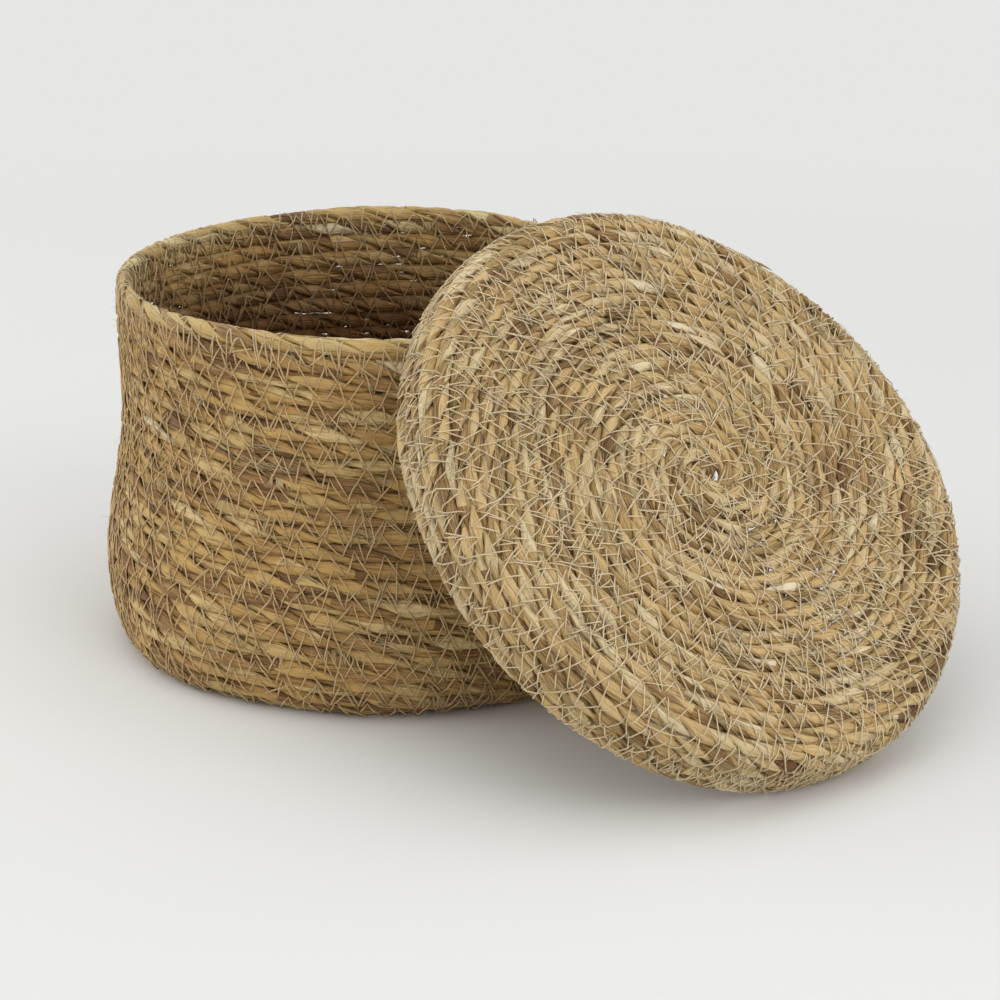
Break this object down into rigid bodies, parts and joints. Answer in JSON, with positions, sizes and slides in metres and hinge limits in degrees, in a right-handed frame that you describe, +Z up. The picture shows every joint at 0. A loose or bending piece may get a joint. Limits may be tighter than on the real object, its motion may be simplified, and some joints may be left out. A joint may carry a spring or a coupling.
{
  "type": "lidded basket",
  "caption": "Round storage basket coiled from twisted seagrass rope and sewn with thread, with a flat lift-off lid that leans on its rim.",
  "frame": {"origin": "middle of the basket's underside, on the floor", "axes": "+Z up along the basket's axis, +X from the basket towards the leaning lid"},
  "size_m": [0.407, 0.2729, 0.2045],
  "materials": {
    "basket_seagrass": "dry twisted leaf, matte with a faint waxy sheen",
    "lid_seagrass": "dry twisted leaf, paler, matte",
    "sewing_thread": "spun thread, matte"
  },
  "bodies": {
    "basket": {"base_coil": "basket_seagrass", "wall_coil": "basket_seagrass", "base_stitching": "sewing_thread", "wall_stitching": "sewing_thread"},
    "lid": {"lid_top_coil": "lid_seagrass", "lid_skirt_coil": "lid_seagrass", "lid_top_stitching": "sewing_thread", "lid_skirt_stitching": "sewing_thread"}
  },
  "joints": [
    {"name": "lid_lift", "type": "slide", "parent": "basket", "child": "lid", "axis": [0, 0, 1], "range_m": [0, 0.2]}
  ]
}
